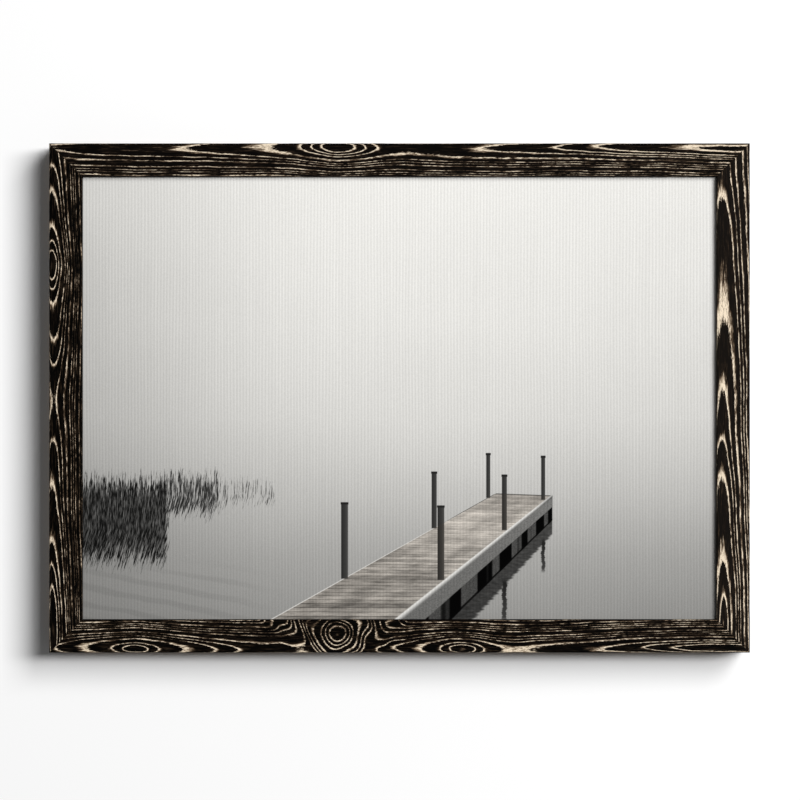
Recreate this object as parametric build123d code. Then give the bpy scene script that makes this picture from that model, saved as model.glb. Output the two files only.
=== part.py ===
"""Framed canvas print for a wall.

A printed canvas is stretched over four keyed stretcher bars, and sits in the rabbet of a mitred wood
frame. Turn buttons on the frame's back hold it in. Two ring hangers carry the picture, and two rubber
bumpers keep its lower edge off the wall.

Row frame, in millimetres: X to the right as seen from the front, Y towards the wall, Z up. The origin
is the middle of the picture in the wall plane, where the bumpers end.
"""

from build123d import *
import os
from math import asin, degrees, radians, sin

# ---- picture and moulding ----
sight_width = 610.0      # picture seen inside the frame
sight_height = 426.0
face_width = 32.0        # moulding seen from the front
frame_depth = 38.0
lip_thickness = 6.0      # wood in front of the canvas
rabbet_width = 6.5       # how far the lip overhangs the rabbet
outer_edge_round = 1.2
inner_edge_round = 0.9
back_edge_round = 0.8

# ---- stretched canvas ----
canvas_thickness = 0.45
canvas_clearance = 1.5   # rabbet wall to canvas, all round
canvas_edge_round = 1.6
canvas_fit = 0.05        # cloth to bar
back_step = 0.15         # canvas back to the frame's back plane
flap_width = 30.0        # cloth turned over the back of the bars
bar_width = 38.0
bead_width = 4.5         # part of a bar's front that touches the cloth
bead_relief = 3.2        # how far the rest of the front falls away
bar_inner_round = 1.5

# ---- keyed corner joint of the bars ----
tongue_reach = 26.0
tongue_thickness = 4.0
tongue_fit = 0.1
tongue_end_gap = 0.5
staple_leg_cover = 1.5   # wood between a staple's legs and the nearer joint layer
key_inserted = 24.0
key_exposed = 19.0
key_tip = 4.0
key_butt = 13.0
key_fit = 0.12
key_corner_chamfer = 1.2

# ---- staples ----
staple_crown = 10.0
staple_leg = 8.0
staple_wire_width = 1.2
staple_wire_thickness = 0.55
staple_inset = 18.0      # canvas edge to staple line
staple_spacing = 46.0
staple_corner_gap = 34.0

# ---- corner fasteners of the frame ----
vnail_wing = 7.0
vnail_thickness = 0.5
vnail_depth = 10.0
vnail_half_angle = 32.0
vnail_outer_gap = 9.5    # frame's outer edge to the first nail's point
vnail_rabbet_gap = 5.0   # second nail's wings to the rabbet wall

# ---- turn buttons ----
button_width = 12.0
button_reach = 22.0      # screw to the end of the rounded tip
button_thickness = 1.2
button_hole_clearance = 0.5
button_inset = 9.0       # screw to rabbet wall
button_lift = 0.05       # over the frame's back
button_pip_radius = 1.6
button_pip_height = 0.5
long_side_button_offset = 165.0   # from the middle of the top and bottom rails

# ---- ring hangers ----
wire_radius = 1.2
wire_clearance = 0.08
strap_thickness = 1.0
strap_width = 10.0
strap_fold_length = 8.0  # pivot to where both layers lie flat
strap_hole_clearance = 0.3
strap_head_gap = 2.1     # free strap round each screw head
ring_side_gap = 1.2      # strap to the start of the ring's bends
ring_side_height = 5.0
ring_corner_round = 3.0
ring_rest_gap = 0.1
hanger_drop = 118.0      # frame top to ring pivot

# ---- screws ----
screw_head_radius = 3.4
screw_head_height = 1.7
screw_shank_radius = 1.6
screw_length = 13.0
screw_head_round = 1.0
screw_tip_length = 3.0
screw_point_radius = 0.15
screw_recess_width = 0.8
screw_recess_length = 3.2
screw_recess_depth = 1.1
screw_head_play = 0.08

# ---- bumpers ----
bumper_radius = 6.0
bumper_height = 5.0
bumper_round = 1.2
bumper_inset = 13.0

cut_margin = 1.0         # how far a cut runs past the faces that it opens

# ---- worked out from the above ----
frame_width = sight_width + 2 * face_width
frame_height = sight_height + 2 * face_width
back_y = -bumper_height
front_y = back_y - frame_depth
lip_back_y = front_y + lip_thickness
rail_back_width = face_width - rabbet_width
canvas_inset = rail_back_width + canvas_clearance
canvas_back_y = back_y - back_step
cloth_room = canvas_thickness + canvas_fit
bar_inset = canvas_inset + cloth_room
bar_back_y = canvas_back_y - cloth_room
bar_front_y = lip_back_y + cloth_room
bar_inner = bar_inset + bar_width
bar_edge_round = canvas_edge_round - cloth_room
# The bars' two joint layers lie past the staples' legs, and share the rest of the wood evenly.
first_layer_depth = staple_leg - cloth_room + staple_leg_cover
spare_wood = bar_back_y - bar_front_y - bead_relief - first_layer_depth - 2 * tongue_thickness
layer_back = {
    "upper": bar_back_y - first_layer_depth,
    "lower": bar_back_y - first_layer_depth - tongue_thickness - spare_wood / 2,
}
vnail_rise = vnail_wing * sin(radians(45 - vnail_half_angle)) + vnail_thickness / 2
vnail_insets = (vnail_outer_gap, rail_back_width - vnail_rabbet_gap - vnail_rise)
button_inset_from_edge = rail_back_width - button_inset
button_hole_radius = screw_shank_radius + button_hole_clearance
button_end_radius = button_width / 2
strap_hole_radius = screw_shank_radius + strap_hole_clearance
strap_hole_margin = screw_head_radius + strap_head_gap
strap_hole_depths = (strap_fold_length + strap_hole_margin, strap_fold_length + 3 * strap_hole_margin)
strap_length = strap_fold_length + 4 * strap_hole_margin
ring_half_width = strap_width / 2 + ring_side_gap + ring_corner_round

# A side is drawn along X with its outer edge on z = 0 and the picture above it, then turned into place.
side_length = {"top": frame_width, "bottom": frame_width, "left": frame_height, "right": frame_height}
side_place = {
    "bottom": Pos(0, 0, -frame_height / 2),
    "left": Pos(-frame_width / 2, 0, 0) * Rot(0, 90, 0),
    "top": Pos(0, 0, frame_height / 2) * Rot(0, 180, 0),
    "right": Pos(frame_width / 2, 0, 0) * Rot(0, -90, 0),
}
# The name of the neighbour at a side's low-X end and at its high-X end, as drawn.
side_ends = {
    "bottom": ("left", "right"),
    "left": ("top", "bottom"),
    "top": ("right", "left"),
    "right": ("bottom", "top"),
}


def block(x, y, z):
    """A box from three (low, high) pairs."""
    size = [high - low for low, high in (x, y, z)]
    middle = [(high + low) / 2 for low, high in (x, y, z)]
    return Pos(*middle) * Box(*size)


def plate(points, y_low, y_high):
    """A flat plate with an outline of (x, z) points, between two y values."""
    outline = Plane.XZ * make_face(Polyline(*points, close=True))
    return Pos(0, y_low, 0) * extrude(outline, amount=-(y_high - y_low))


def disc(x, z, radius, y_low, y_high):
    """A round plate or hole across the frame's depth."""
    return Pos(x, (y_low + y_high) / 2, z) * Rot(90, 0, 0) * Cylinder(radius, y_high - y_low)


def prism_between_mitres(length, reach, y_low, y_high):
    """The space between a side's two 45-degree mitres, up to reach from the outer edge."""
    half = length / 2
    points = [(-half, 0), (half, 0), (half - reach, reach), (-half + reach, reach)]
    return plate(points, y_low, y_high)


def edges_at(shape, y, z):
    """The edges of a straight bar that run along X at one corner of its section."""
    along = shape.edges().filter_by(Axis.X)
    return [e for e in along if (Vector(0, e.center().Y, e.center().Z) - Vector(0, y, z)).length < 1e-4]


# ---- frame ----
def rail(side):
    """One moulding: a flat face, a lip over the rabbet, and the seats of its fasteners."""
    length = side_length[side]
    half = length / 2
    body = block((-half, half), (front_y, back_y), (0, face_width))
    body -= block((-half, half), (lip_back_y, back_y), (rail_back_width, face_width))
    body = fillet(edges_at(body, front_y, 0), outer_edge_round)
    body = fillet(edges_at(body, front_y, face_width), inner_edge_round)
    body = fillet(edges_at(body, back_y, 0), back_edge_round)
    body &= prism_between_mitres(length, face_width, front_y, back_y)
    body = side_place[side] * body
    for nail in corner_nails():
        body -= nail
    for x, z in screws_in(side):
        body -= pilot_hole(x, z)
    return body


def corner_nail(inset):
    """A V of sheet steel at a side's low-X corner, its point on the mitre towards the outer corner."""
    half = vnail_thickness / 2
    wing = block((0, vnail_wing), (back_y - vnail_depth, back_y), (-half, half))
    low, high = (Rot(0, turn - 45, 0) * wing for turn in (-vnail_half_angle, vnail_half_angle))
    return Pos(inset, 0, inset) * (low + high)


def corner_nails():
    """Two nails at each of the four corners."""
    nails = []
    for flip_x in (1, -1):
        for flip_z in (1, -1):
            for inset in vnail_insets:
                nail = Pos(-frame_width / 2, 0, -frame_height / 2) * corner_nail(inset)
                if flip_x < 0:
                    nail = mirror(nail, about=Plane.YZ)
                if flip_z < 0:
                    nail = mirror(nail, about=Plane.XY)
                nails.append(nail)
    return nails


# ---- screws ----
def pilot_hole(x, z):
    """The hole that a screw's shank fills in the frame's back."""
    tip_back_y = back_y - screw_length + screw_tip_length
    shank = disc(x, z, screw_shank_radius, tip_back_y, back_y)
    tip = Rot(90, 0, 0) * Cone(screw_shank_radius, screw_point_radius, screw_tip_length)
    return shank + Pos(x, tip_back_y - screw_tip_length / 2, z) * tip


def pan_screw(x, z, seat_y):
    """A pan-head wood screw with a cross recess, its head resting at seat_y and its tip in the frame."""
    head = disc(0, 0, screw_head_radius, seat_y, seat_y + screw_head_height)
    rim = head.edges().filter_by(GeomType.CIRCLE).sort_by(Axis.Y)[-1]
    head = fillet(rim, screw_head_round)
    top = seat_y + screw_head_height
    long, short = screw_recess_length / 2, screw_recess_width / 2
    for half_x, half_z in ((long, short), (short, long)):
        head -= block((-half_x, half_x), (top - screw_recess_depth, top), (-half_z, half_z))
    neck = disc(0, 0, screw_shank_radius, back_y, seat_y)
    return Pos(x, 0, z) * (head + neck) + pilot_hole(x, z)


# ---- stretched canvas ----
def in_corner(side, end, shape):
    """Moves a shape drawn at a low-X outer corner on x = 0 to one end of a side, still as drawn."""
    half = side_length[side] / 2
    if end == 0:
        return Pos(-half, 0, 0) * shape
    return mirror(Pos(-half, 0, 0) * shape, about=Plane.YZ)


def wedge_plate(layer, fit):
    """The outline of a key at a low-X outer corner, grown by fit all round except past its butt."""
    y_low = layer_back[layer] - tongue_thickness + tongue_fit - fit
    y_high = layer_back[layer] - tongue_fit + fit
    straight = bar_inner + key_fit
    slope = (key_butt - key_tip) / (key_inserted + key_exposed)
    points = [
        (straight - fit, bar_inner - key_inserted - fit),
        (straight + key_tip + fit - slope * fit, bar_inner - key_inserted - fit),
        (straight + key_butt + fit, bar_inner + key_exposed),
        (straight - fit, bar_inner + key_exposed),
    ]
    return plate(points, y_low, y_high)


def corner_key(side, end):
    """A wedge that spreads one corner joint."""
    layer = "upper" if side in ("top", "bottom") else "lower"
    wedge = wedge_plate(layer, 0)
    butt = [e for e in wedge.edges().filter_by(Axis.Y) if e.center().Z > bar_inner]
    wedge = chamfer(butt, key_corner_chamfer)
    return side_place[side] * in_corner(side, end, wedge)


def stretcher_bar(side):
    """A bar with a raised bead under the cloth's edge, and at each end a tongue and a slot for a key."""
    length = side_length[side]
    half = length / 2
    section = [
        (bar_back_y, bar_inset),
        (bar_front_y, bar_inset),
        (bar_front_y, bar_inset + bead_width),
        (bar_front_y + bead_relief, bar_inner),
        (bar_back_y, bar_inner),
    ]
    body = extrude(Plane.YZ * make_face(Polyline(*section, close=True)), amount=half, both=True)
    outer = edges_at(body, bar_back_y, bar_inset) + edges_at(body, bar_front_y, bar_inset)
    body = fillet(outer, bar_edge_round)
    inner = edges_at(body, bar_back_y, bar_inner) + edges_at(body, bar_front_y + bead_relief, bar_inner)
    body = fillet(inner, bar_inner_round)
    body &= prism_between_mitres(length, bar_inner, front_y, back_y)
    slot_layer, tongue_layer = ("upper", "lower") if side in ("top", "bottom") else ("lower", "upper")
    tongue_far = bar_inner - tongue_reach
    tongue = block(
        (tongue_far, bar_inner),
        (layer_back[tongue_layer] - tongue_thickness, layer_back[tongue_layer]),
        (tongue_far, bar_inner),
    )
    slot_far = tongue_far - tongue_end_gap
    slot = block(
        (slot_far, bar_inner),
        (layer_back[slot_layer] - tongue_thickness - tongue_fit, layer_back[slot_layer] + tongue_fit),
        (slot_far, bar_inner),
    )
    slot += wedge_plate(slot_layer, key_fit)
    for end in (0, 1):
        body += in_corner(side, end, tongue)
        body -= in_corner(side, end, slot)
    return side_place[side] * body


def rounded_slab(inset, y_low, y_high, edge_round):
    """A slab inset from the frame's outer edge, with its front and back perimeters rounded."""
    half_x = frame_width / 2 - inset
    half_z = frame_height / 2 - inset
    slab = block((-half_x, half_x), (y_low, y_high), (-half_z, half_z))
    around = slab.edges() - slab.edges().filter_by(Axis.Y)
    return fillet(around, edge_round)


def canvas_sheet():
    """The cloth: a front panel, four turned edges and a flap all round the back."""
    outside = rounded_slab(canvas_inset, lip_back_y, canvas_back_y, canvas_edge_round)
    inside = rounded_slab(
        canvas_inset + canvas_thickness,
        lip_back_y + canvas_thickness,
        canvas_back_y - canvas_thickness,
        canvas_edge_round - canvas_thickness,
    )
    window_x = frame_width / 2 - canvas_inset - flap_width
    window_z = frame_height / 2 - canvas_inset - flap_width
    window = block((-window_x, window_x), (bar_back_y - cut_margin, back_y), (-window_z, window_z))
    return outside - inside - window


def staple(x):
    """A flat-wire staple across a side's staple line at x."""
    z = canvas_inset + staple_inset
    half = staple_crown / 2
    wire = staple_wire_width / 2
    top = canvas_back_y + staple_wire_thickness
    crown = block((x - half, x + half), (canvas_back_y, top), (z - wire, z + wire))
    leg = block((0, staple_wire_thickness), (canvas_back_y - staple_leg, canvas_back_y), (z - wire, z + wire))
    return crown + Pos(x - half, 0, 0) * leg + Pos(x + half - staple_wire_thickness, 0, 0) * leg


def staples():
    """The staples of all four sides, evenly spaced between the corner folds."""
    made = []
    for side, length in side_length.items():
        run = length - 2 * (canvas_inset + staple_corner_gap)
        gaps = round(run / staple_spacing)
        for i in range(gaps + 1):
            made.append(side_place[side] * staple(-run / 2 + run * i / gaps))
    return made


# ---- turn buttons ----
def turn_button(x, z, turn):
    """A stamped steel strip, drawn upwards from its screw hole and turned to point inwards."""
    y_low = back_y + button_lift
    y_high = y_low + button_thickness
    tip = button_reach - button_end_radius
    strip = block((-button_end_radius, button_end_radius), (y_low, y_high), (0, tip))
    strip += disc(0, 0, button_end_radius, y_low, y_high) + disc(0, tip, button_end_radius, y_low, y_high)
    strip += disc(0, tip, button_pip_radius, y_high, y_high + button_pip_height)
    strip -= disc(0, 0, button_hole_radius, y_low - cut_margin, y_high + cut_margin)
    return Pos(x, 0, z) * Rot(0, turn, 0) * strip


# ---- ring hangers ----
loop_inner_radius = wire_radius + wire_clearance
loop_outer_radius = loop_inner_radius + strap_thickness
pivot_y = back_y + loop_outer_radius
pivot_z = frame_height / 2 - hanger_drop
ring_height = ring_side_height + ring_half_width
strap_back_y = back_y + 2 * strap_thickness
# The ring leans on the frame when it points up, which is how a hook on the wall holds it.
ring_lean = degrees(asin((pivot_y - back_y - wire_radius - ring_rest_gap) / ring_height))


def strap(x):
    """A strap folded round the ring's bar, with two screw holes through both layers."""
    y_top = pivot_y + loop_outer_radius
    fold_z = pivot_z - strap_fold_length
    end_z = pivot_z - strap_length
    low_layer = [
        (back_y, pivot_z),
        (back_y, end_z),
        (back_y + strap_thickness, end_z),
        (back_y + strap_thickness, pivot_z),
    ]
    high_layer = [
        (y_top, pivot_z),
        (strap_back_y, fold_z),
        (strap_back_y, end_z),
        (strap_back_y - strap_thickness, end_z),
        (strap_back_y - strap_thickness, fold_z),
        (y_top - strap_thickness, pivot_z),
    ]
    half = strap_width / 2
    made = Rot(0, 90, 0) * Cylinder(loop_outer_radius, strap_width)
    made = Pos(0, pivot_y, pivot_z) * made
    made &= block((-half, half), (back_y, y_top), (pivot_z, pivot_z + loop_outer_radius))
    for outline in (low_layer, high_layer):
        made += extrude(Plane.YZ * make_face(Polyline(*outline, close=True)), amount=half, both=True)
    bore = Rot(0, 90, 0) * Cylinder(loop_inner_radius, strap_width + 2 * cut_margin)
    made -= Pos(0, pivot_y, pivot_z) * bore
    for depth in strap_hole_depths:
        made -= disc(0, pivot_z - depth, strap_hole_radius, back_y - cut_margin, y_top)
    return Pos(x, 0, 0) * made


def ring(x):
    """A D of round wire, standing up from its pivot and leaning on the frame."""
    low = ring_corner_round
    side_x = ring_half_width
    bend = ring_corner_round * (1 - 2**-0.5)
    path = (
        Line((-side_x + low, 0), (side_x - low, 0))
        + ThreePointArc((side_x - low, 0), (side_x - bend, bend), (side_x, low))
        + Line((side_x, low), (side_x, ring_side_height))
        + ThreePointArc((side_x, ring_side_height), (0, ring_height), (-side_x, ring_side_height))
        + Line((-side_x, ring_side_height), (-side_x, low))
        + ThreePointArc((-side_x, low), (-side_x + bend, bend), (-side_x + low, 0))
    )
    upright = Plane.XZ * path
    section = Plane((0, 0, 0), x_dir=(0, 1, 0), z_dir=(1, 0, 0)) * Circle(wire_radius)
    wire = sweep(section, path=upright)
    return Pos(x, pivot_y, pivot_z) * Rot(ring_lean, 0, 0) * wire


# ---- bumpers ----
def bumper(x):
    """A rubber foot at a lower corner of the frame's back."""
    z = -frame_height / 2 + bumper_inset
    foot = disc(x, z, bumper_radius, back_y, 0)
    rim = foot.edges().filter_by(GeomType.CIRCLE).sort_by(Axis.Y)[-1]
    return fillet(rim, bumper_round)


# ---- where the fastened pieces go ----
hanger_x = frame_width / 2 - rail_back_width / 2
button_x = frame_width / 2 - button_inset_from_edge
button_z = frame_height / 2 - button_inset_from_edge
button_places = {
    "turn_button_top_left": (-long_side_button_offset, button_z, 180),
    "turn_button_top_right": (long_side_button_offset, button_z, 180),
    "turn_button_bottom_left": (-long_side_button_offset, -button_z, 0),
    "turn_button_bottom_right": (long_side_button_offset, -button_z, 0),
    "turn_button_left": (-button_x, 0, 90),
    "turn_button_right": (button_x, 0, -90),
}
strap_screw_places = {
    "left": [(-hanger_x, pivot_z - depth) for depth in strap_hole_depths],
    "right": [(hanger_x, pivot_z - depth) for depth in strap_hole_depths],
}


def screws_in(side):
    """Where the screws of one rail go, as (x, z) pairs."""
    of_side = "turn_button_" + side
    buttons = [(x, z) for name, (x, z, turn) in button_places.items() if name.startswith(of_side)]
    return buttons + strap_screw_places.get(side, [])


def build():
    """Every node of the part, by name."""
    nodes = {}
    for side in side_length:
        nodes["frame_rail_" + side] = rail(side)
        nodes["stretcher_bar_" + side] = stretcher_bar(side)
        for end in (0, 1):
            nodes[f"corner_key_{side}_{side_ends[side][end]}"] = corner_key(side, end)
    nodes["corner_nails"] = Compound(children=corner_nails())
    nodes["printed_canvas"] = canvas_sheet()
    nodes["canvas_staples"] = Compound(children=staples())
    for name, (x, z, turn) in button_places.items():
        nodes[name] = turn_button(x, z, turn)
    seat = back_y + button_lift + button_thickness + screw_head_play
    button_screws = [pan_screw(x, z, seat) for x, z, turn in button_places.values()]
    nodes["turn_button_screws"] = Compound(children=button_screws)
    for side, sign in (("left", -1), ("right", 1)):
        nodes["hanger_strap_" + side] = strap(sign * hanger_x)
        nodes["hanger_ring_" + side] = ring(sign * hanger_x)
        nodes["wall_bumper_" + side] = bumper(sign * (frame_width / 2 - bumper_inset))
    strap_places = strap_screw_places["left"] + strap_screw_places["right"]
    nodes["hanger_screws"] = Compound(children=[pan_screw(x, z, strap_back_y) for x, z in strap_places])
    return nodes


os.makedirs("parts", exist_ok=True)
parts = build()
for name, shape in parts.items():
    export_step(shape, f"parts/{name}.step")
print("overall", frame_width, "x", frame_depth + bumper_height, "x", frame_height, "mm; nodes", len(parts))
print("ring pivot", round(pivot_y, 3), round(pivot_z, 3), "lean", round(ring_lean, 2))
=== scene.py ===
import math

import bmesh
import bpy
import numpy as np
from mathutils import Matrix, Vector, noise


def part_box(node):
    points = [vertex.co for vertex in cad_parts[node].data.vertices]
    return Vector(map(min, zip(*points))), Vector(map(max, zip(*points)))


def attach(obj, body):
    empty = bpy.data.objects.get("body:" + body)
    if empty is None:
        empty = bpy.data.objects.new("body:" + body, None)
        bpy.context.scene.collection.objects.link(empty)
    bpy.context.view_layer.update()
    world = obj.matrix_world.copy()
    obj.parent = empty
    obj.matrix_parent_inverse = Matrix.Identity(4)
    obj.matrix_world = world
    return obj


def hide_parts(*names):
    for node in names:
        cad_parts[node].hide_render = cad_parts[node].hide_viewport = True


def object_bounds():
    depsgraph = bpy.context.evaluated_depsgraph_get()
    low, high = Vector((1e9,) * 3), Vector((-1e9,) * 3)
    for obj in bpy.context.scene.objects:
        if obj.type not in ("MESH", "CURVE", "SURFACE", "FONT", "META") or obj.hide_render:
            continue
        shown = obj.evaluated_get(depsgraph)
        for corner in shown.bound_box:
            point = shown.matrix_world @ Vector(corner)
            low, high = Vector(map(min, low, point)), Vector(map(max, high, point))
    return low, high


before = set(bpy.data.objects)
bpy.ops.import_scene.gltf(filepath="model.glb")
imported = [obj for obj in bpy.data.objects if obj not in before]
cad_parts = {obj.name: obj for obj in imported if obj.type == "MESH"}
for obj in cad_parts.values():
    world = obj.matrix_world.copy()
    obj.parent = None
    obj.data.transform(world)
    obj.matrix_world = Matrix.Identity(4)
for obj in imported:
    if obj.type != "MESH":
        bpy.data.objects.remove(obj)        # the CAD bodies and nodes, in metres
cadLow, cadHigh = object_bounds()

scene = bpy.context.scene
mm = 0.001
sides = ("top", "bottom", "left", "right")


# shader signals: an expression on them adds its Math nodes
def mathNode(operation, *values):
    shade = next(v.shade for v in values if isinstance(v, Signal))
    return shade.add("ShaderNodeMath", {"operation": operation}, dict(enumerate(values)))


class Signal:
    def __init__(self, shade, socket):
        self.shade = shade
        self.socket = socket

    def __add__(self, other):
        return mathNode("ADD", self, other)

    def __radd__(self, other):
        return mathNode("ADD", other, self)

    def __sub__(self, other):
        return mathNode("SUBTRACT", self, other)

    def __rsub__(self, other):
        return mathNode("SUBTRACT", other, self)

    def __mul__(self, other):
        return mathNode("MULTIPLY", self, other)

    def __rmul__(self, other):
        return mathNode("MULTIPLY", other, self)

    def __truediv__(self, other):
        return mathNode("DIVIDE", self, other)

    def __rtruediv__(self, other):
        return mathNode("DIVIDE", other, self)

    def __pow__(self, other):
        return mathNode("POWER", self, other)


class Shade:
    # one material: its shader, its Object coordinates in millimetres, and a way to add nodes
    def __init__(self, name, **fixed):
        self.material = bpy.data.materials.new(name)
        self.material.use_nodes = True
        self.nodes = self.material.node_tree.nodes
        self.links = self.material.node_tree.links
        self.shader = self.nodes["Principled BSDF"]
        self.set(**fixed)
        inMetres = self.add("ShaderNodeTexCoord", {}, {}, "Object")
        self.place = self.add("ShaderNodeVectorMath", {"operation": "SCALE"}, {0: inMetres, "Scale": 1 / mm})
        self.x, self.y, self.z = (self.add("ShaderNodeSeparateXYZ", {}, {0: self.place}, axis)
                                  for axis in ("X", "Y", "Z"))

    def feed(self, socket, value):
        if isinstance(value, Signal):
            self.links.new(value.socket, socket)
        elif isinstance(value, tuple) and socket.type == "RGBA":
            socket.default_value = (*value, 1.0)
        else:
            socket.default_value = value

    def add(self, kind, settings, values, pick=0):
        node = self.nodes.new(kind)
        for key, value in settings.items():
            if key == "stops":      # the first is at 0 and the last at 1, where a new ramp has its own two
                ramp = node.color_ramp.elements
                ramp[0].color, ramp[1].color = value[0][1], value[-1][1]
                for place, colour in value[1:-1]:
                    ramp.new(place).color = colour
            else:
                setattr(node, key, value)
        for key, value in values.items():
            self.feed(node.inputs[key], value)
        return Signal(self, node.outputs[pick])

    def vector(self, x, y, z):
        return self.add("ShaderNodeCombineXYZ", {}, {0: x, 1: y, 2: z})

    def noise(self, place, scale, detail=2.0, roughness=0.5):
        values = {"Vector": place, "Scale": scale, "Detail": detail, "Roughness": roughness}
        return self.add("ShaderNodeTexNoise", {}, values, "Fac")

    def blend(self, first, second, share):
        return self.add("ShaderNodeMix", {"data_type": "RGBA"}, {0: share, 6: first, 7: second}, 2)

    def set(self, **sockets):
        for key, value in sockets.items():
            self.feed(self.shader.inputs[key.replace("_", " ")], value)
        return self.material

    def bump(self, height, depth, strength=1.0):
        values = {"Height": height, "Distance": depth, "Strength": strength}
        self.set(Normal=self.add("ShaderNodeBump", {}, values, "Normal"))


# these work on shader signals and on numpy arrays alike
def sine(x):
    return mathNode("SINE", x) if isinstance(x, Signal) else np.sin(x)


def root(x):
    return mathNode("SQRT", x) if isinstance(x, Signal) else np.sqrt(x)


def fraction(x):
    return mathNode("FRACT", x) if isinstance(x, Signal) else x - np.floor(x)


def size(x):
    return mathNode("ABSOLUTE", x) if isinstance(x, Signal) else np.abs(x)


def logarithm(x):
    return mathNode("LOGARITHM", x, math.e) if isinstance(x, Signal) else np.log(x)


def lower(x, y, soft=1.2):
    # the smaller of the two, rounded where they cross
    if isinstance(x, Signal):
        return mathNode("SMOOTH_MIN", x, y, soft)
    share = np.maximum(soft - np.abs(x - y), 0) / soft
    return np.minimum(x, y) - share ** 3 * soft / 6


def ease(x, low, high):
    # 0 below low, 1 above high, smooth between
    if isinstance(x, Signal):
        settings = {"interpolation_type": "SMOOTHSTEP"}
        return x.shade.add("ShaderNodeMapRange", settings, {0: x, 1: low, 2: high, 3: 0.0, 4: 1.0})
    share = np.clip((x - low) / (high - low), 0, 1)
    return share * share * (3 - 2 * share)


def within(x, low, high, soft):
    return ease(x, low - soft, low + soft) * (1 - ease(x, high - soft, high + soft))


def addPiece(name, bm, materials, body, nodes, smoothAngle=35):
    mesh = bpy.data.meshes.new(name)
    bm.to_mesh(mesh)
    bm.free()
    for material in materials:
        mesh.materials.append(material)
    mesh.shade_smooth()
    mesh.set_sharp_from_angle(angle=math.radians(smoothAngle))
    piece = bpy.data.objects.new(name, mesh)
    scene.collection.objects.link(piece)
    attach(piece, body)
    if nodes:
        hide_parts(*nodes)
    return piece


def softened(node, width, material, body="picture", angle=30, proud=0.0):
    # a CAD node's own shape with its sharp edges rounded off
    bm = bmesh.new()
    bm.from_mesh(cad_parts[node].data)
    bmesh.ops.remove_doubles(bm, verts=bm.verts[:], dist=0.002 * mm)
    bmesh.ops.dissolve_limit(bm, angle_limit=math.radians(2), verts=bm.verts[:], edges=bm.edges[:])
    bm.normal_update()
    if width:
        sharp = [e for e in bm.edges if e.is_manifold and e.calc_face_angle(0) > math.radians(angle)]
        bmesh.ops.bevel(bm, geom=sharp, offset=width * mm, offset_type="OFFSET", segments=2, profile=0.5,
                        affect="EDGES", clamp_overlap=True, material=-1)
    if proud:
        top = max(v.co.y for v in bm.verts)
        for v in bm.verts:
            if v.co.y > top - 0.3 * mm:
                v.co.y += proud * mm
    return addPiece(node + "_piece", bm, [material], body, [node])


# the frame's places, in millimetres
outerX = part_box("frame_rail_right")[1].x / mm
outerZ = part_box("frame_rail_top")[1].z / mm
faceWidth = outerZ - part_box("frame_rail_top")[0].z / mm
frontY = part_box("frame_rail_top")[0].y / mm
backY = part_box("frame_rail_top")[1].y / mm
canvasLow, canvasHigh = (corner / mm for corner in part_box("printed_canvas"))
frameDepth = backY - frontY
lipThickness = canvasLow.y - frontY
rabbetGap = 1.5
rabbetInset = outerX - canvasHigh.x - rabbetGap
print("frame", outerX * 2, outerZ * 2, "face", faceWidth, "lip", lipThickness, "rabbet", rabbetInset)


# Wood grain: growth rings round a pith that rises and dips under the rail's face. A place is along the rail
# from its middle, inset from its outer edge and depth from its front. A figure is where the pith comes near
# the face: (along, reach, gain, rings between it and the face). black and wax weigh the dark ground and the
# cream, and fade thins the cream towards the inner edge. black is partly painted light: the rails' dark
# grounds differ as their lighting does, and the right rail's far higher black paints the key light's sheen.
grain = {
    "top": {"pith": 4.2, "drift": 1.0, "phase": 0.4, "ring": 2.5, "black": 1.2, "wax": 1.2, "fade": 0.28,
            "figures": [(-60.0, 16.0, 1.25, 1.75), (330.0, 90.0, 1.6, 0.7)], "knots": []},
    "bottom": {"pith": 4.0, "drift": 1.2, "phase": 2.2, "ring": 2.35, "black": 0.5, "wax": 0.95, "fade": 0.15,
               "figures": [(-254.0, 17.0, 1.25, 1.75), (61.0, 15.0, 1.25, 1.75), (320.0, 70.0, 1.6, 0.8)],
               "knots": [(-60.0, 18.0)]},
    "left": {"pith": 3.6, "drift": 1.2, "phase": 1.2, "ring": 2.35, "black": 0.5, "wax": 0.92, "fade": 0.35,
             "figures": [(128.0, 16.0, 1.3, 1.7), (-220.0, 60.0, 2.0, 1.9)], "knots": []},
    # the right rail's high black is painted light: the key light's sheen on that rail
    "right": {"pith": 26.0, "drift": 0.8, "phase": 3.0, "ring": 2.8, "black": 4.4, "wax": 1.32, "fade": 0.0,
              "figures": [(-270.0, 120.0, 2.6, 1.3)], "knots": []},
}
knot = {"ring": 5.2, "core": 7.0, "reach": 60.0}


def ringPhase(rail, along, inset, depth):
    # how many rings out from the pith a place lies
    level = None
    for place, reach, gain, cover in rail["figures"]:
        away = (along - place) / reach
        hill = cover + gain * logarithm(1 + away * away)
        level = hill if level is None else lower(level, hill)
    level = level + 0.10 * sine(along * 0.052 + rail["phase"]) + depth / rail["ring"]
    centre = rail["pith"] + rail["drift"] * sine(along * 0.021 + rail["phase"])
    wander = 0.10 * sine(along * 0.071 + inset * 0.12) + 0.04 * sine(along * 0.23)
    offset = (inset - centre) / rail["ring"] + wander
    rings = root(offset * offset + level * level)
    for knotAlong, knotInset in rail["knots"]:
        flat = (along - knotAlong) * (1.30 - 0.022 * inset)
        tall = (inset - knotInset) * 0.95
        far = root(flat * flat + tall * tall + 2.0) * (1 + 0.07 * sine(along * 0.21 + inset * 0.17))
        near = 1 - ease(far, knot["core"], knot["reach"])
        rings = rings * (1 - near) + near * (far / knot["ring"] + 0.3)
    return rings + 0.26 * sine(rings * 1.7 + rail["phase"])      # good and bad growing years


def earlyWood(rings):
    # the brushed-out band of each ring: a crisp start, a slow fade
    share = fraction(rings)
    return ease(share, 0.26, 0.38) * (1 - ease(share, 0.44, 0.72))


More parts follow.
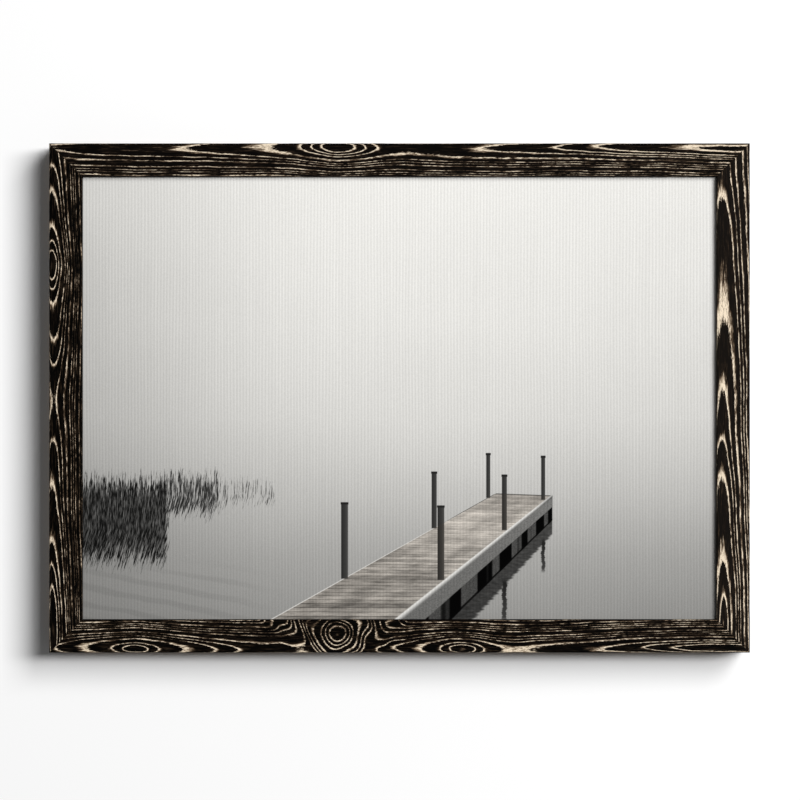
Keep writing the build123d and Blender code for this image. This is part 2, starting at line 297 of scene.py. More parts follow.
def railHalf(side):
    return outerX if side in ("top", "bottom") else outerZ


def railPlace(side, x, y, z):
    # a place in the rail's own measures: along, inset, depth
    along = x if side in ("top", "bottom") else z
    inset = {"top": outerZ - z, "bottom": z + outerZ, "left": x + outerX, "right": outerX - x}[side]
    return along, inset, y - frontY


def railPoint(side, along, inset, depth):
    # and back from the rail's own measures
    y = frontY + depth
    return {"top": (along, y, outerZ - inset), "bottom": (along, y, inset - outerZ),
            "left": (inset - outerX, y, along), "right": (outerX - inset, y, along)}[side]


finish = {
    "black": (0.0013, 0.0010, 0.0008),
    "umber": (0.020, 0.0125, 0.0075),
    "tan": (0.185, 0.125, 0.078),
    "cream": (0.80, 0.68, 0.52),
    "rawPine": (0.50, 0.33, 0.17),
    "darkPine": (0.33, 0.19, 0.085),
    "spray": (0.03, 0.025, 0.02),
}


def blackGrainMaterial(side):
    rail = grain[side]
    shade = Shade("blackLimedWood" + side.title(), Specular_IOR_Level=0.015)
    along, inset, depth = railPlace(side, shade.x, shade.y, shade.z)
    fibre = shade.noise(shade.vector(along * 0.16, inset, depth), 1.7, 4.0, 0.78)
    streak = shade.noise(shade.vector(along * 0.045, inset, depth + 7), 1.15, 3.0, 0.6)
    patch = shade.noise(shade.vector(along * 0.30, inset, depth), 0.14, 3.0, 0.6)
    ragged = 0.27 * (fibre - 0.5) + 0.42 * (streak - 0.5)
    rings = ringPhase(rail, along, inset, depth) + ragged
    worn = ease(fibre, 0.40, 0.60)
    sideShare = ease(depth, 1.2, 4.0)
    backShare = ease(depth, frameDepth - 1.1, frameDepth - 0.35)
    tips = (1 - ease(size(inset - rail["pith"]), 2.5, 8.0)) * (1 - sideShare)
    strength = 0.30 + 0.62 * ease(patch, 0.36, 0.64)
    strength = strength + (1 - strength) * tips
    wax = earlyWood(rings) * strength * (0.30 + 0.70 * worn) * rail["wax"]
    wax = wax * (1 - 0.55 * sideShare) * (1 - backShare) * (1 - rail["fade"] * ease(inset, 10.0, 26.0))
    dusty = ease(streak, 0.50, 0.78)
    # the dark ground is scaled by the rail's black, which paints the light's sheen on the rail, most on the
    # right
    ground = shade.blend(tuple(v * rail["black"] for v in finish["black"]), finish["umber"], dusty)
    ground = shade.blend(ground, finish["tan"], ease(streak, 0.55, 0.80) * ease(fibre, 0.42, 0.7) * 0.5)
    coloured = shade.blend(ground, finish["tan"], ease(wax, 0.09, 0.42))
    coloured = shade.blend(coloured, finish["cream"], ease(wax, 0.27, 0.68))
    # the back stays bare, with black overspray at its edges
    mist = shade.noise(shade.place, 0.12, 3.0, 0.65)
    bare = backShare * ease(inset + 7 * (mist - 0.5), 1.6, 4.2)
    bareRings = shade.noise(shade.vector(along * 0.02, inset, depth), 0.55, 2.0)
    pine = shade.blend(finish["rawPine"], finish["darkPine"], ease(bareRings, 0.45, 0.65) * 0.7)
    pine = shade.blend(pine, finish["spray"], ease(mist, 0.42, 0.75) * (1 - ease(inset, 2.5, 12.0)) * 0.75)
    wood = shade.blend(coloured, pine, bare)
    mitre = 1 - ease(railHalf(side) - size(along) - inset, 0.1, 0.5)
    wood = shade.blend(wood, finish["umber"], mitre * 0.8)
    shade.set(Base_Color=wood, Roughness=0.48 + 0.25 * wax + 0.12 * fibre)
    shade.bump(fibre * 0.4 + streak * 0.4 - wax * 0.3, 0.2 * mm, 0.6)
    return shade.material


railMesh = {"relief": 0.28, "fine": 0.05, "frontPitch": 0.42, "sidePitch": 0.62, "hiddenPitch": 6.0,
            "lengthPitch": 1.62, "frontRound": 1.2, "innerRound": 0.9, "backRound": 0.7, "touch": 0.1,
            "mitreGap": 0.05, "mitreSink": 0.22, "mitreLand": 0.45}


def sectionPitch(low, high):
    # close where the grain shows, wide on the back and in the rabbet
    touch = railMesh["touch"]
    onBack = min(low.y, high.y) > frameDepth - touch
    underLip = abs(low.y - lipThickness) < touch and abs(high.y - lipThickness) < touch
    inRabbet = min(low.z, high.z) > rabbetInset - touch and max(low.y, high.y) > lipThickness + touch
    if onBack or underLip or inRabbet:
        return railMesh["hiddenPitch"]
    onFront = abs(low.y - high.y) < 1
    return railMesh["frontPitch"] if onFront else railMesh["sidePitch"]


def makeSection(bm, x):
    # the moulding's outline as a loop of edges: y is its depth, z its inset from the outer edge
    corners = [(0, 0), (faceWidth, 0), (faceWidth, lipThickness), (rabbetInset, lipThickness),
               (rabbetInset, frameDepth), (0, frameDepth)]
    verts = [bm.verts.new((x, depth, inset)) for inset, depth in corners]
    bm.faces.new(verts)
    for vert, radius in ((verts[0], "frontRound"), (verts[1], "innerRound"), (verts[5], "backRound")):
        bmesh.ops.bevel(bm, geom=[vert], offset=railMesh[radius], offset_type="OFFSET", segments=3,
                        profile=0.5, affect="VERTICES", material=-1)
    bmesh.ops.delete(bm, geom=bm.faces[:], context="FACES_ONLY")
    for edge in bm.edges[:]:
        low, high = (v.co for v in edge.verts)
        length = (low - high).length
        if length > 2:      # not the short edges of the rounds
            cuts = max(1, round(length / sectionPitch(low, high)) - 1)
            bmesh.ops.subdivide_edges(bm, edges=[edge], cuts=cuts)


def grainSink(side, along, inset, depth, atMitre):
    # how deep the brush has cut: the early wood, a fine roughness, and the mitre's open edge
    shown = 1 - ease(depth, frameDepth - 1.2, frameDepth - 0.2)
    hidden = (depth > lipThickness - 0.2) & (inset > rabbetInset - 0.2)
    shown = shown * np.where(hidden, 0.0, 1.0)
    line = earlyWood(ringPhase(grain[side], along, inset, depth))
    fine = np.array([noise.noise(Vector((a * 0.05, i * 1.1, d * 1.1)))
                     for a, i, d in zip(along, inset, depth)])
    brushed = railMesh["relief"] * line + railMesh["fine"] * (1 + fine)
    return brushed * shown + railMesh["mitreSink"] * atMitre * shown


def makeRail(side):
    half = railHalf(side)
    steps = round(2 * half / railMesh["lengthPitch"])
    bm = bmesh.new()
    makeSection(bm, -half)
    swept = bmesh.ops.extrude_edge_only(bm, edges=bm.edges[:])["geom"]
    farEnd = [g for g in swept if isinstance(g, bmesh.types.BMVert)]
    bmesh.ops.translate(bm, verts=farEnd, vec=(2 * half, 0, 0))
    lengthways = [e for e in bm.edges if abs(e.verts[0].co.x - e.verts[1].co.x) > half]
    bmesh.ops.subdivide_edges(bm, edges=lengthways, cuts=steps - 1, use_grid_fill=True)
    bmesh.ops.recalc_face_normals(bm, faces=bm.faces[:])
    # each row of points is shortened to the mitre, and the row next to it moves close beside it
    co = np.array([v.co for v in bm.verts])
    share = co[:, 0] / half
    nextToEnd = np.abs(np.abs(share) - (1 - 2 / steps)) < 0.5 / steps
    share = np.where(nextToEnd, np.sign(share) * (1 - railMesh["mitreLand"] / half), share)
    co[:, 0] = share * (half - co[:, 2] - railMesh["mitreGap"])
    for v, place in zip(bm.verts, co):
        v.co = place
    bm.normal_update()
    normals = np.array([v.normal for v in bm.verts])
    if np.sum(normals[:, 1] * (co[:, 1] - frameDepth / 2)) < 0:
        normals = -normals
    sink = grainSink(side, co[:, 0], co[:, 2], co[:, 1], np.abs(share) > 0.9999)
    co = co - normals * sink[:, None]
    for v, (along, depth, inset) in zip(bm.verts, co):
        v.co = Vector(railPoint(side, along, inset, depth)) * mm
    bmesh.ops.holes_fill(bm, edges=[e for e in bm.edges if e.is_boundary], sides=0)
    bmesh.ops.recalc_face_normals(bm, faces=bm.faces[:])
    name = "frameRail" + side.title()
    rail = addPiece(name, bm, [blackGrainMaterial(side)], "picture", ["frame_rail_" + side])
    print(name, len(rail.data.polygons), "faces")


for side in sides:
    makeRail(side)

# the printed cloth
sightX, sightZ = outerX - faceWidth, outerZ - faceWidth      # half sizes of the picture inside the frame
cloth = {"ribPitch": 3.08, "thickness": 0.42, "round": 1.6, "flap": 30.0, "cell": 6.0, "sideSteps": 6,
         "flapSteps": 5, "slack": 0.12, "slackReach": 40.0}
# tones run from 0 to 1 as the eye sees them; places are millimetres from the sight's lower left corner
fog = {"heights": ((0.0, 0.575), (0.14, 0.645), (0.27, 0.74), (0.36, 0.795), (0.45, 0.84), (0.66, 0.885),
                   (1.0, 0.925)),
       "leftFall": 0.17, "leftReach": 340.0, "rightFall": 0.035}
reedBeds = (
    {"left": -40.0, "right": 82.0, "head": 152.0, "thick": 114.0, "thin": 80.0, "foot": 34.0,
     "water": 86.0, "most": 1.0},
    {"left": 74.0, "right": 134.0, "head": 154.0, "thick": 124.0, "thin": 114.0, "foot": 86.0,
     "water": 117.0, "most": 0.70},
    {"left": 130.0, "right": 188.0, "head": 146.0, "thick": 126.0, "thin": 118.0, "foot": 98.0,
     "water": 118.0, "most": 0.40},
)
# the jetty's deck by its corners; heights and depths are those at its near right corner
jetty = {"nearLeft": (172.0, -6.0), "nearRight": (296.0, -6.0),
         "farLeft": (398.0, 121.0), "farRight": (452.0, 119.0),
         "planks": 60.0, "boards": 0.52, "rail": 0.86, "board": 24.0, "water": 52.0, "mirror": 80.0,
         "postRows": (0.20, 0.56, 0.93), "postHeight": 88.0, "postHalf": 3.9}


def layTone(under, tone, mask):
    return under + (tone - under) * mask


def deckMapping():
    # coefficients that turn a place in the picture into across and along on the deck
    corners = [(jetty["nearLeft"], (0, 0)), (jetty["nearRight"], (1, 0)), (jetty["farLeft"], (0, 1)),
               (jetty["farRight"], (1, 1))]
    rows, results = [], []
    for (u, w), (across, along) in corners:
        rows.append([u, w, 1, 0, 0, 0, -across * u, -across * w])
        rows.append([0, 0, 0, u, w, 1, -along * u, -along * w])
        results += [across, along]
    return [float(v) for v in np.linalg.solve(np.array(rows, float), np.array(results, float))]


deckMap = deckMapping()


def deckScale(u, w):
    # grows towards the viewer, as everything on the deck does
    return u * deckMap[6] + w * deckMap[7] + 1


def deckAlong(u, w):
    return (u * deckMap[3] + w * deckMap[4] + deckMap[5]) / deckScale(u, w)


def deckPlace(across, along):
    # the picture's place of a point on the deck, and its scale against the near end
    place = np.linalg.inv(np.array([*deckMap, 1.0]).reshape(3, 3)) @ (across, along, 1.0)
    u, w = (float(v / place[2]) for v in place[:2])
    return u, w, deckScale(u, w) / deckScale(*jetty["nearRight"])


def reedTone(shade, u, w, tone):
    # clumps of thin blades over their own ragged reflection
    ragged = shade.noise(shade.vector(u, 0.0, 0.0), 0.10, 4.0, 0.75) - 0.5
    for bed in reedBeds:
        under = size(w - bed["water"]) - (w - bed["water"])
        lean = u + 0.11 * under - 0.04 * (w - bed["water"])
        blades = shade.noise(shade.vector(lean, w * 0.055, bed["head"]), 0.95, 3.0, 0.74)
        fine = shade.noise(shade.vector(lean, w * 0.11, 9.0), 1.25, 2.0)
        height = w - 25 * ragged
        above = 1 - ease(height, bed["thick"], bed["head"])
        below = ease(w + 18 * ragged, bed["foot"], bed["thin"])
        beside = within(u + 12 * (blades - 0.5) + 14 * ragged, bed["left"], bed["right"], 6.0)
        cover = bed["most"] * above * below * beside
        mask = ease(ease(blades, 0.30, 0.72) * 0.75 + ease(fine, 0.3, 0.7) * 0.25 + cover, 0.86, 1.20)
        gaps = 1 - ease(blades * 0.45 + fine * 0.55, 0.40, 0.58)
        light = 0.08 + 0.46 * gaps * (1.15 - 0.6 * cover)
        tone = layTone(tone, light, mask * ease(cover, 0.02, 0.2) * (0.55 + 0.45 * bed["most"]))
    return tone


def jettyTone(shade, u, w, tone):
    scale = deckScale(u, w)
    across = (u * deckMap[0] + w * deckMap[1] + deckMap[2]) / scale
    along = deckAlong(u, w)
    near, far = jetty["nearRight"], jetty["farRight"]
    # how far a place lies under the deck's right edge
    edge = near[1] + (u - near[0]) * ((far[1] - near[1]) / (far[0] - near[0]))
    edgeAlong = deckAlong(u, edge)
    fall = (edge - w) * deckScale(*near) / deckScale(u, edge)
    onSide = (1 - ease(u, far[0] - 0.5, far[0] + 0.7)) * ease(fall, 0.0, 1.0)
    ripple = 0.9 * sine(w * 1.1 + 2.0 * sine(u * 0.11)) + 0.6 * sine(w * 2.3 + u * 0.21)
    wobble = shade.noise(shade.vector(u * 0.6, w * 2.2, 4.0), 0.25, 2.0)
    speckle = shade.noise(shade.vector(u, w * 1.6, 2.0), 0.8, 3.0, 0.7)
    # the deck's reflection, which the water breaks up along its far side
    mirror = 1 - ease(fall - ripple * 1.6, jetty["mirror"] - 4, jetty["mirror"] + 4)
    tone = layTone(tone, 0.08 + 0.20 * wobble + 0.06 * edgeAlong, mirror * onSide * 0.95)
    # posts and dark gaps between the side board and the water
    posted = ease(sine(edgeAlong * 41.0 + 1.4) + 0.6 * sine(edgeAlong * 97.0), -0.3, 0.5)
    under = 1 - ease(fall, jetty["water"] - 1, jetty["water"] + 1)
    tone = layTone(tone, 0.03 + 0.26 * posted * (0.3 + 1.3 * speckle), under * onSide)
    waterLine = within(fall, jetty["water"] - 3.5, jetty["water"], 1.2)
    tone = layTone(tone, 0.04, waterLine * onSide * 0.85)
    board = 1 - ease(fall, jetty["board"] - 1, jetty["board"] + 1)
    tone = layTone(tone, 0.24 + 0.32 * speckle + 0.05 * edgeAlong, board * onSide)
    # the deck, its planks and the wear in them
    plank = along * jetty["planks"]
    chance = shade.add("ShaderNodeTexWhiteNoise", {"noise_dimensions": "1D"},
                       {"W": mathNode("FLOOR", plank)}, "Value")
    streak = shade.noise(shade.vector(across * 5.0, plank * 1.5, 1.0), 1.0, 4.0, 0.78)
    blotch = shade.noise(shade.vector(across * 3.0, plank * 0.10, 3.0), 1.2, 3.0)
    boards = jetty["boards"] + 0.15 * (chance - 0.5) + 0.52 * (streak - 0.5) + 0.50 * (blotch - 0.5)
    boards = boards + 0.18 * ease(along, 0.1, 0.6) - 0.14 * ease(along, 0.66, 1.0)
    gap = ease(size(fraction(plank) - 0.5), 0.34, 0.48)
    boards = boards - 0.15 * gap * (1.1 - 0.75 * ease(along, 0.0, 0.9)) * (0.4 + 1.2 * blotch)
    onDeck = within(across, 0.0, 1.0, 0.008) * (1 - ease(along, 0.992, 1.004)) * ease(scale, 0.0, 0.05)
    tone = layTone(tone, boards, onDeck)
    leftEdge = within(across, -0.014, 0.002, 0.005)
    tone = layTone(tone, 0.80 - 0.45 * ease(along, 0.55, 0.75), leftEdge * (1 - ease(along, 0.98, 1.0)))
    tone = layTone(tone, 0.33, within(along, 0.990, 1.003, 0.004) * within(across, 0.0, 1.0, 0.01))
    # the round rub rail, lit from above
    tube = within(fall, -2.6, 4.2, 1.0) * (1 - ease(u, far[0] - 0.5, far[0] + 1.2))
    lit = jetty["rail"] - 0.16 * ease(along, 0.75, 1.0) - 0.42 * ease(fall, -1.6, 4.6)
    return layTone(tone, lit + 0.10 * (speckle - 0.5), tube), onDeck * (1 - tube)


def postTone(u, w, tone):
    # pairs of posts along the deck's edges, the right ones with their reflections
    sway = 0.40 * sine(w * 0.33) + 0.22 * sine(w * 0.9 + 1.0)
    wavy = 0.86 + 0.10 * sine(w * 1.4) + 0.10 * sine(w * 3.1)
    for row in reversed(jetty["postRows"]):
        for across in (0.0, 0.94):
            middle, foot, scale = deckPlace(across, row)
            half, height = jetty["postHalf"] * scale, jetty["postHeight"] * scale
            if across:
                top = foot - jetty["mirror"] * scale
                bottom = top - height * 0.7
                body = ease(half * wavy - size(u + sway - middle), -0.6, 0.6) * within(w, bottom, top, 3.0)
                tone = layTone(tone, 0.14, body * (0.78 + 0.20 * ease(w, bottom, top)))
            head = foot + height
            body = within(u, middle - half, middle + half, 0.35) * within(w, foot, head, 0.6)
            cap = within(u, middle - half - 0.5, middle + half + 0.5, 0.3) * within(w, head - 2.0, head, 0.4)
            tone = layTone(tone, 0.18 + 0.08 * ease(u, middle - half, middle + half), body)
            tone = layTone(tone, 0.15, cap)
    return tone


def printedClothMaterial():
    shade = Shade("printedCotton", Roughness=0.85, Specular_IOR_Level=0.02)
    u, w = shade.x + sightX, shade.z + sightZ
    height = w / (2 * sightZ)
    stops = [(place, (level, level, level, 1.0)) for place, level in fog["heights"]]
    ramp = shade.add("ShaderNodeValToRGB", {"stops": stops}, {0: height})
    tone = shade.add("ShaderNodeSeparateColor", {}, {0: ramp})
    left = 1 - ease(u, -60.0, fog["leftReach"])
    leftShare = 0.5 + 0.40 * ease(height, 0.0, 0.25) - 0.20 * ease(height, 0.7, 1.0)
    tone = tone - fog["leftFall"] * left * left * leftShare - fog["rightFall"] * ease(u, 370.0, 640.0)
    cloudy = shade.noise(shade.vector(u, w * 1.6, 0.0), 0.006, 2.0)
    tone = tone + 0.03 * (cloudy - 0.5)
    # faint ripples on the water, lower left
    bent = shade.noise(shade.vector(u * 0.3, w, 6.0), 0.06, 1.0)
    rippleLine = sine((w + u * 0.20) * 0.40 + 3.0 * bent)
    onWater = (1 - ease(w, 34.0, 62.0)) * (1 - ease(u, 120.0, 200.0))
    tone = tone - 0.028 * ease(rippleLine, 0.1, 0.9) * onWater
    tone = reedTone(shade, u, w, tone)
    tone, onDeck = jettyTone(shade, u, w, tone)
    tone = postTone(u, w, tone)
    # ribs down the cloth, slubs, and the weave itself
    slub = shade.noise(shade.vector(u, w * 0.015, 0.0), 0.34, 2.0, 0.8)
    drift = shade.noise(shade.vector(u * 0.02, w * 0.004, 2.0), 1.0, 1.0)
    rib = sine(u * (2 * math.pi / cloth["ribPitch"]) + 9 * drift) * (0.35 + 1.3 * slub)
    crossSlub = shade.noise(shade.vector(u * 0.8, w, 5.0), 0.85, 2.0, 0.7)
    threads = sine(u * 8.4) * sine(w * 8.4)
    tone = tone * (1 + 0.027 * rib + 0.05 * (slub - 0.5) + 0.11 * (crossSlub - 0.5))
    light = mathNode("MAXIMUM", tone + 0.004, 0.02) ** 2.17
    red, green, blue = light * (0.912 + 0.065 * onDeck), light * 0.90, light * (0.864 - 0.06 * onDeck)
    ink = shade.add("ShaderNodeCombineColor", {}, {0: red, 1: green, 2: blue})
    # off the front, the primed cloth shows white, with ink running a little over the edge
    front = 1 - ease(shade.y, canvasLow.y + 5.0, canvasLow.y + 7.0)
    soiled = shade.noise(shade.place, 0.05, 3.0) * 0.6 + 0.9 * (slub - 0.5) + 0.9 * (crossSlub - 0.5)
    primed = shade.blend((0.70, 0.685, 0.64), (0.50, 0.48, 0.42), ease(soiled, 0.1, 0.75))
    shade.set(Base_Color=shade.blend(primed, ink, front))
    shade.bump(threads * 0.4 + rib * 0.4 + slub + crossSlub * 0.6, 0.14 * mm, 0.5)
    return shade.material


def rawClothMaterial():
    shade = Shade("rawCottonBack", Roughness=0.9, IOR=1.38)
    slub = shade.noise(shade.vector(shade.x, shade.y, shade.z * 0.03), 0.5, 2.0, 0.7)
    cross = shade.noise(shade.vector(shade.x * 0.03, shade.y, shade.z), 0.5, 2.0, 0.7)
    threads = sine(shade.x * 8.4) * sine(shade.z * 8.4)
    fleck = shade.noise(shade.place, 0.9, 2.0, 0.8)
    cotton = shade.blend((0.58, 0.51, 0.39), (0.70, 0.64, 0.52), ease(slub + cross, 0.7, 1.3))
    cotton = shade.blend(cotton, (0.22, 0.16, 0.09), ease(fleck, 0.72, 0.8) * 0.6)
    shade.set(Base_Color=cotton)
    shade.bump(threads * 0.5 + slub + cross, 0.2 * mm, 0.6)
    return shade.material


def extrudeBorder(bm, border):
    # the new outer points and edges
    made = bmesh.ops.extrude_edge_only(bm, edges=border)["geom"]
    moved = {g for g in made if isinstance(g, bmesh.types.BMVert)}
    return list(moved), [g for g in made if isinstance(g, bmesh.types.BMEdge) and moved.issuperset(g.verts)]


def makeCloth():
    halfX, halfZ = canvasHigh.x, canvasHigh.z
    bm = bmesh.new()
    columns, rows = round(2 * halfX / cloth["cell"]), round(2 * halfZ / cloth["cell"])
    bmesh.ops.create_grid(bm, x_segments=columns, y_segments=rows, size=1.0,
                          matrix=Matrix.Diagonal((halfX, halfZ, 1, 1)))
    bmesh.ops.rotate(bm, verts=bm.verts[:], cent=(0, 0, 0), matrix=Matrix.Rotation(math.radians(90), 3, "X"))
    for v in bm.verts:
        v.co.y = canvasLow.y
    # over the bars' outer sides, then in across their backs
    border = [e for e in bm.edges if e.is_boundary]
    turned = list(border)
    for step in range(cloth["sideSteps"]):
        moved, border = extrudeBorder(bm, border)
        bmesh.ops.translate(bm, verts=moved, vec=(0, (canvasHigh.y - canvasLow.y) / cloth["sideSteps"], 0))
    turned += border
    reachX, reachZ = halfX, halfZ
    for step in range(cloth["flapSteps"]):
        moved, border = extrudeBorder(bm, border)
        nextX, nextZ = (reach - cloth["flap"] / cloth["flapSteps"] for reach in (reachX, reachZ))
        bmesh.ops.scale(bm, verts=moved, vec=(nextX / reachX, 1, nextZ / reachZ))
        reachX, reachZ = nextX, nextZ
    # the cut edge wanders a little, as scissors leave it
    for v in {v for e in border for v in e.verts}:
        wave = noise.noise(Vector((v.co.x * 0.07, 3.0, v.co.z * 0.07)))
        shift = 0.9 * wave + 0.25 * noise.noise(v.co * 0.6)
        if abs(v.co.x) > reachX - 0.01:
            v.co.x += math.copysign(shift, v.co.x)
        if abs(v.co.z) > reachZ - 0.01:
            v.co.z += math.copysign(shift, v.co.z)
    bmesh.ops.bevel(bm, geom=turned, offset=cloth["round"], offset_type="OFFSET", segments=3, profile=0.5,
                    affect="EDGES", clamp_overlap=True, material=-1)
    bmesh.ops.recalc_face_normals(bm, faces=bm.faces[:])
    # a stretched panel is never quite flat: it dips a little between its bars
    for v in bm.verts:
        if v.co.y < canvasLow.y + 0.01 and abs(v.co.x) < sightX and abs(v.co.z) < sightZ:
            toEdge = min(sightX - abs(v.co.x), sightZ - abs(v.co.z))
            dip = cloth["slack"] * min(1.0, toEdge / cloth["slackReach"])
            v.co.y += dip * (1 + noise.noise(Vector((v.co.x, 0, v.co.z)) * 0.012))
    bmesh.ops.scale(bm, verts=bm.verts[:], vec=(mm, mm, mm))
    piece = addPiece("printedCanvas", bm, [printedClothMaterial(), rawClothMaterial()], "picture",
                     ["printed_canvas"], smoothAngle=60)
    thicken = piece.modifiers.new("clothThickness", "SOLIDIFY")
    thicken.thickness = cloth["thickness"] * mm
    thicken.offset = -1
    thicken.material_offset = 1
    thicken.material_offset_rim = 1
    return piece


fold = {"inset": 1.2, "top": canvasHigh.y + 0.85, "thickness": 0.86, "round": 0.3}


def makeFold(name, alongX, alongZ):
    # the cloth tucked over itself at a corner: a three-sided pleat whose crease runs in from the corner
    bm = bmesh.new()
    tipX, tipZ = canvasHigh.x - fold["inset"], canvasHigh.z - fold["inset"]
    innerX, innerZ = (high - cloth["flap"] + fold["inset"] for high in (canvasHigh.x, canvasHigh.z))
    places = [(tipX, tipZ), (tipX, innerZ), (innerX, innerZ)]
    face = bm.faces.new([bm.verts.new((x * alongX, fold["top"], z * alongZ)) for x, z in places])
    cutEdge = [e for e in face.edges if all(abs(abs(v.co.z) - innerZ) < 0.1 for v in e.verts)]
    bmesh.ops.subdivide_edges(bm, edges=cutEdge, cuts=9)
    for v in bm.verts:
        if abs(abs(v.co.z) - innerZ) < 0.1:
            v.co.z += alongZ * 0.5 * noise.noise(v.co * 0.3)
    bmesh.ops.recalc_face_normals(bm, faces=bm.faces[:])
    if face.normal.y < 0:
        bmesh.ops.reverse_faces(bm, faces=bm.faces[:])
    lowered = [g for g in bmesh.ops.extrude_face_region(bm, geom=bm.faces[:])["geom"]
               if isinstance(g, bmesh.types.BMVert)]
    bmesh.ops.translate(bm, verts=lowered, vec=(0, -fold["thickness"], 0))
    bmesh.ops.recalc_face_normals(bm, faces=bm.faces[:])
    crease = []
    for edge in bm.edges:
        one, other = (v.co for v in edge.verts)
        wholeRun = abs(abs(one.x - other.x) - (tipX - innerX)) < 0.1
        if wholeRun and one.y + other.y > 2 * fold["top"] - 0.1:
            crease.append(edge)
    bmesh.ops.bevel(bm, geom=crease, offset=fold["round"], offset_type="OFFSET", segments=3, profile=0.5,
                    affect="EDGES", clamp_overlap=True, material=-1)
    bmesh.ops.scale(bm, verts=bm.verts[:], vec=(mm, mm, mm))
    return addPiece(name, bm, [canvas.data.materials[0]], "picture", [])


canvas = makeCloth()
folds = [makeFold("cornerFold" + name, alongX, alongZ) for name, alongX, alongZ in
         (("TopRight", 1, 1), ("TopLeft", -1, 1), ("BottomRight", 1, -1), ("BottomLeft", -1, -1))]


def softwoodMaterial(name, side, light, dark):
    shade = Shade(name, Roughness=0.62, IOR=1.45)
    along, across = (shade.x, shade.z) if side in ("top", "bottom") else (shade.z, shade.x)
    lift = shade.noise(shade.vector(along * 0.01, 0.0, 0.0), 1.0, 1.0)
    beside, under = across + 30 * lift + 14, shade.y + 44      # from the log's pith
    radius = root(beside * beside + under * under)
    fibre = shade.noise(shade.vector(along * 0.03, across, shade.y), 1.3, 3.0, 0.6)
    late = ease(fraction(radius / 3.1 + 0.3 * fibre), 0.35, 0.95)
    speck = shade.noise(shade.vector(along * 0.12, across, shade.y), 3.0, 1.0)
    wood = shade.blend(light, dark, late * 0.75)
    wood = shade.blend(wood, dark, ease(fibre, 0.5, 0.8) * 0.35)
    wood = shade.blend(wood, (0.20, 0.10, 0.04), ease(speck, 0.72, 0.78) * 0.35)
    shade.set(Base_Color=wood)
    shade.bump(late * 0.5 + fibre, 0.12 * mm, 0.5)
    return shade.material


def zincMaterial(name, tint, roughness):
    shade = Shade(name, Metallic=1.0)
    cloudy = shade.noise(shade.place, 0.35, 3.0, 0.6)
    scratch = shade.noise(shade.vector(shade.x * 0.25, shade.y, shade.z * 3.0), 1.6, 3.0, 0.7)
    duller = tuple(v * 0.72 for v in tint)
    shade.set(Base_Color=shade.blend(tint, duller, ease(cloudy, 0.35, 0.7)),
              Roughness=roughness + 0.16 * (cloudy - 0.5) + 0.10 * scratch)
    shade.bump(scratch + cloudy * 0.6, 0.02 * mm, 0.5)
    return shade.material


def rubberMaterial():
    shade = Shade("blackRubber", IOR=1.5)
    dust = shade.noise(shade.place, 0.8, 3.0, 0.7)
    shade.set(Base_Color=shade.blend((0.014, 0.014, 0.014), (0.045, 0.043, 0.04), ease(dust, 0.5, 0.75)),
              Roughness=0.6 + 0.2 * dust)
    shade.bump(shade.noise(shade.place, 6.0, 1.0), 0.03 * mm, 0.4)
    return shade.material


pineLight, pineDark = (0.60, 0.41, 0.215), (0.42, 0.235, 0.095)
beechLight, beechDark = (0.46, 0.27, 0.13), (0.34, 0.18, 0.08)
for side in sides:
    wood = softwoodMaterial("planedPine" + side.title(), side, pineLight, pineDark)
    softened("stretcher_bar_" + side, 0.25, wood)
    keyWood = softwoodMaterial("sawnBeech" + side.title(), "left" if side in ("top", "bottom") else "top",
                               beechLight, beechDark)
    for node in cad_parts:
        if node.startswith("corner_key_" + side):
            softened(node, 0.35, keyWood, body=node)

platedSteel = zincMaterial("zincPlatedSheet", (0.66, 0.67, 0.68), 0.30)
screwSteel = zincMaterial("zincPlatedScrews", (0.72, 0.72, 0.70), 0.24)
stapleSteel = zincMaterial("galvanisedWire", (0.42, 0.43, 0.45), 0.30)
nailSteel = zincMaterial("bluedSheet", (0.36, 0.37, 0.40), 0.42)
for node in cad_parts:
    if node.startswith("turn_button_") and node != "turn_button_screws":
        softened(node, 0.22, platedSteel, body=node)
    elif node.startswith("hanger_ring_"):
        softened(node, 0.0, platedSteel, body=node, angle=60)
    elif node.startswith("hanger_strap_"):
        softened(node, 0.18, platedSteel)
    elif node in ("turn_button_screws", "hanger_screws"):
        softened(node, 0.08, screwSteel)
    elif node.startswith("wall_bumper_"):
        softened(node, 0.2, rubberMaterial())
softened("canvas_staples", 0.1, stapleSteel)
softened("corner_nails", 0.05, nailSteel, proud=0.06)
print("hardware done")


studio = {"wallGap": 0.6, "wallReach": 6.0, "floorDrop": 0.34, "floorReach": 40.0, "dim": 0.11, "lens": 150.0,
          "sensor": 36.0, "viewWidth": 0.7692, "cameraX": 0.0005, "cameraZ": -0.0019}
lights = {
    "keyLight": {"place": (5.6, -9.0, 1.73), "size": (6.6, 2.0), "power": 842.0},
    "fillLight": {"place": (3.0, -4.4, 2.6), "size": (2.6, 2.4), "power": 211.0},
    "backLeft": {"place": (2.1, 2.4, 1.3), "size": (1.6, 1.6), "power": 46.0},
    "backRight": {"place": (-2.3, 2.2, 0.8), "size": (1.6, 1.6), "power": 32.2},
}


def addLight(name, light):
    data = bpy.data.lights.new(name, "AREA")
    data.shape = "RECTANGLE"
    data.size, data.size_y = light["size"]
    data.energy = light["power"]
    lamp = bpy.data.objects.new(name, data)
    lamp.location = light["place"]
    lamp.rotation_euler = ((cadLow + cadHigh) / 2 - lamp.location).to_track_quat("-Z", "Y").to_euler()
    scene.collection.objects.link(lamp)


def stagePlane(name, corners, material):
    bm = bmesh.new()
    bm.faces.new([bm.verts.new(c) for c in corners])
    mesh = bpy.data.meshes.new(name)
    bm.to_mesh(mesh)
    bm.free()
    mesh.materials.append(material)
    plane = bpy.data.objects.new(name, mesh)
    scene.collection.objects.link(plane)
    return plane


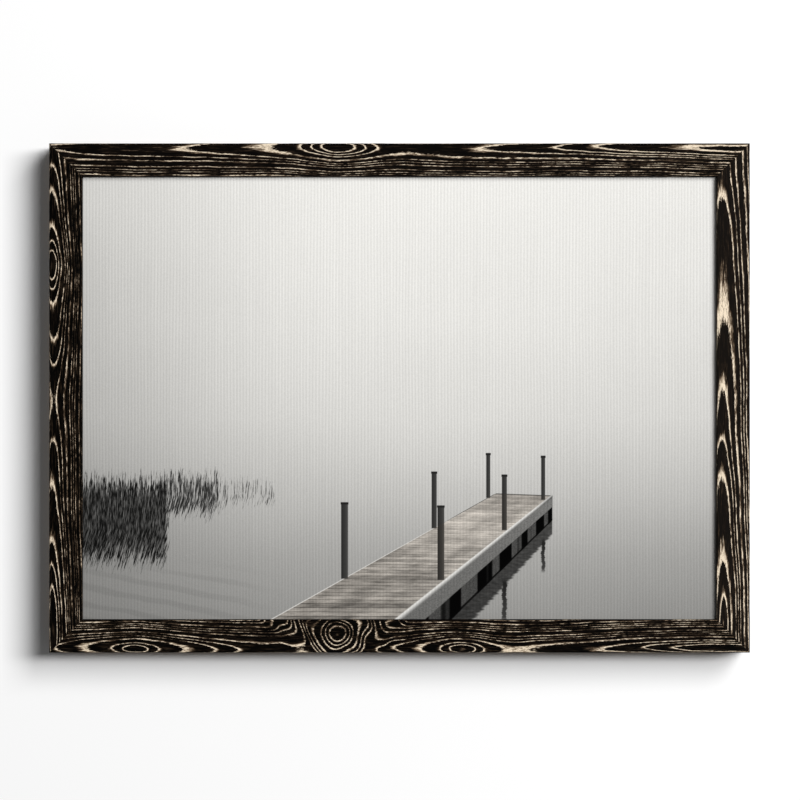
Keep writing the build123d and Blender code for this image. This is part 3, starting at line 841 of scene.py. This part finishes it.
def wallMaterial():
    # plain paint on one side only, so that the picture's back can be seen through the wall
    shade = Shade("wallPaint", Roughness=0.9, Base_Color=(0.92, 0.92, 0.92), Specular_IOR_Level=0.0)
    behind = shade.add("ShaderNodeNewGeometry", {}, {}, "Backfacing")
    clear = shade.add("ShaderNodeBsdfTransparent", {}, {})
    paint = Signal(shade, shade.shader.outputs[0])
    mixed = shade.add("ShaderNodeMixShader", {}, {0: behind, 1: paint, 2: clear})
    shade.feed(shade.nodes["Material Output"].inputs["Surface"], mixed)
    return shade.material


wallY = cadHigh.y + studio["wallGap"] * mm
floorZ = cadLow.z - studio["floorDrop"]
reach = studio["wallReach"]
wallCorners = [(-reach, wallY, floorZ), (reach, wallY, floorZ), (reach, wallY, reach), (-reach, wallY, reach)]
wall = stagePlane("wall", wallCorners, wallMaterial())
for ray in ("diffuse", "glossy", "transmission", "shadow", "volume_scatter"):
    setattr(wall, "visible_" + ray, False)
paleFloor = Shade("paleFloor", Roughness=0.7, Base_Color=(0.8, 0.8, 0.79))
floorCorners = [(x * studio["floorReach"], y * studio["floorReach"], floorZ)
                for x, y in ((-1, -1), (1, -1), (1, 1), (-1, 1))]
floor = stagePlane("floor", floorCorners, paleFloor.material)
floor.visible_diffuse = False
for name, light in lights.items():
    addLight(name, light)

world = bpy.data.worlds.new("studioWorld")
world.use_nodes = True
scene.world = world
background = world.node_tree.nodes["Background"]
background.inputs["Color"].default_value = (1, 1, 1, 1)
rays = world.node_tree.nodes.new("ShaderNodeLightPath")
level = world.node_tree.nodes.new("ShaderNodeMapRange")
level.inputs["To Min"].default_value = studio["dim"]      # plain white to the camera, dim as a light
level.inputs["To Max"].default_value = 1.0
world.node_tree.links.new(rays.outputs["Is Camera Ray"], level.inputs["Value"])
world.node_tree.links.new(level.outputs["Result"], background.inputs["Strength"])

cameraData = bpy.data.cameras.new("studioCamera")
cameraData.lens = studio["lens"]
cameraData.sensor_width = studio["sensor"]
cameraData.clip_end = 50.0
camera = bpy.data.objects.new("studioCamera", cameraData)
distance = studio["viewWidth"] * studio["lens"] / studio["sensor"]      # the picture's front spans the view
camera.location = (studio["cameraX"], cadLow.y - distance, studio["cameraZ"])
camera.rotation_euler = (math.radians(90), 0, 0)
scene.collection.objects.link(camera)
scene.camera = camera
scene.view_settings.view_transform = "Standard"
print("studio done")
